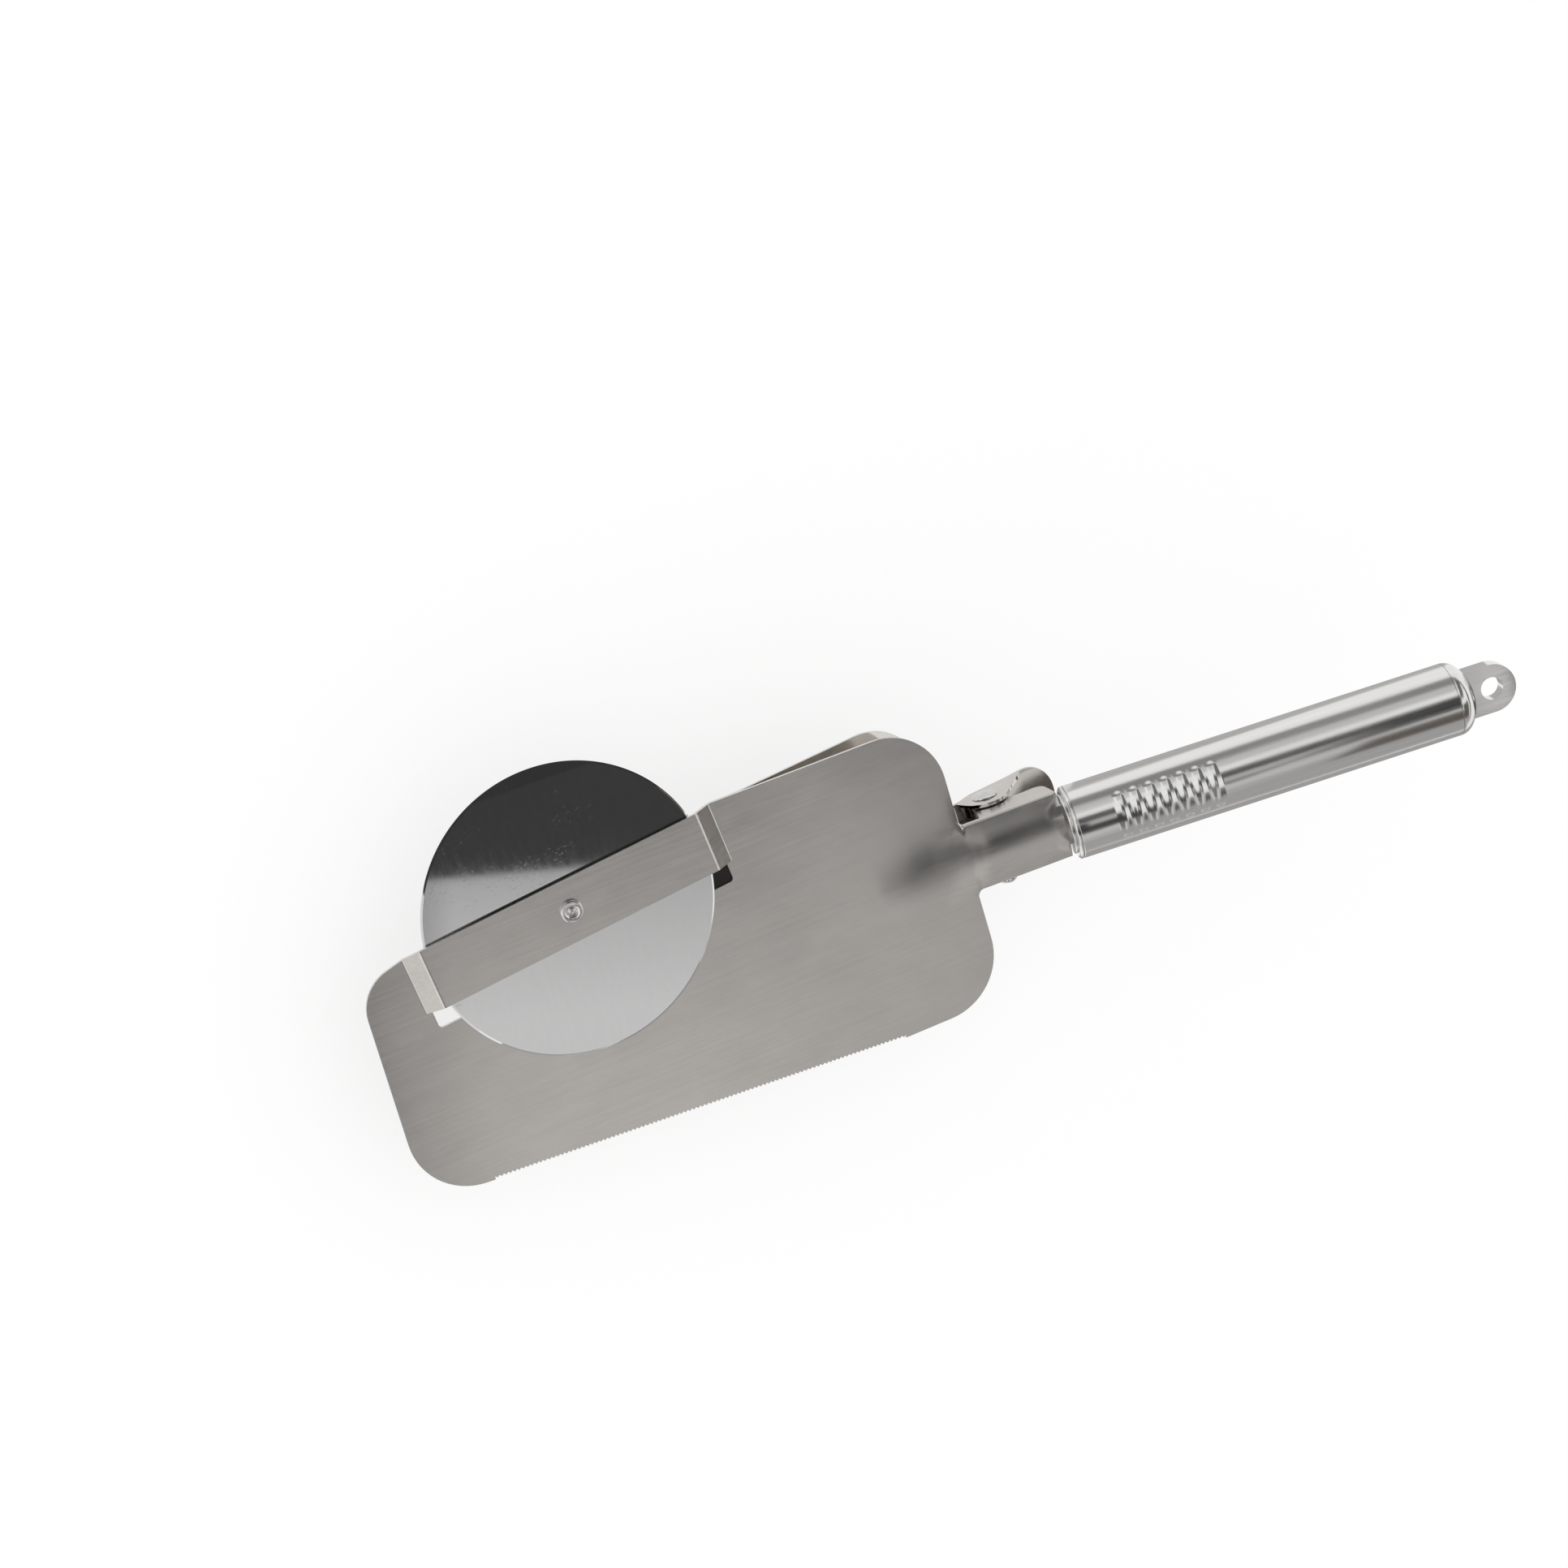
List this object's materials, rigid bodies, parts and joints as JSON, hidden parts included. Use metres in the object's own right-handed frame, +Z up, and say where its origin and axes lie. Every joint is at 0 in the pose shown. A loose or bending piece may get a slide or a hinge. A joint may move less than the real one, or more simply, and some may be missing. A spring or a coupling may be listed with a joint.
{
  "type": "pizza cutter and server",
  "caption": "Flat serving blade with a saw edge, a round cutting wheel under a strap, a sprung clamp jaw behind the blade and a ribbed tube handle.",
  "frame": {"origin": "middle of the bounding box on the table that the tool lies on, back down", "axes": "+X from the blade's tip to the handle's end, +Y to the side the cutting wheel stands out of, +Z up, out of the blade's front"},
  "size_m": [0.3028, 0.1042, 0.0684],
  "materials": {
    "brushed_sheet": "satin brushed stainless steel",
    "polished_disc": "mirror polished stainless steel",
    "polished_tube": "polished stainless steel",
    "rivet_steel": "bright stainless steel",
    "spring_wire": "drawn spring wire",
    "bush_brass": "turned brass"
  },
  "bodies": {
    "frame": {"serving_blade": "brushed_sheet", "axle_rivet": "rivet_steel", "wheel_bush": "bush_brass", "front_washer": "rivet_steel", "rear_washer": "rivet_steel", "hinge_rivet": "rivet_steel", "hinge_sleeve": "rivet_steel", "hinge_washers": "rivet_steel", "torsion_spring": "spring_wire", "tang_pin": "rivet_steel", "front_cap": "polished_tube", "handle_tube": "polished_tube", "end_cap": "polished_tube"},
    "wheel": {"cutting_wheel": "polished_disc"},
    "jaw": {"clamp_jaw": "brushed_sheet"}
  },
  "joints": [
    {"name": "wheel_spin", "type": "hinge", "parent": "frame", "child": "wheel", "pos_m": [-0.09514, 0.01462, 0.00818], "axis": [-0.1134, 0, 0.9935], "continuous": true},
    {"name": "jaw_hinge", "type": "hinge", "parent": "frame", "child": "jaw", "pos_m": [0.02119, -0.01302, 0.00928], "axis": [0, -1, 0], "range_deg": [0, 30], "stiffness_Nm_per_rad": 0.4, "springref_deg": -34.95, "deforming": ["torsion_spring"]}
  ]
}
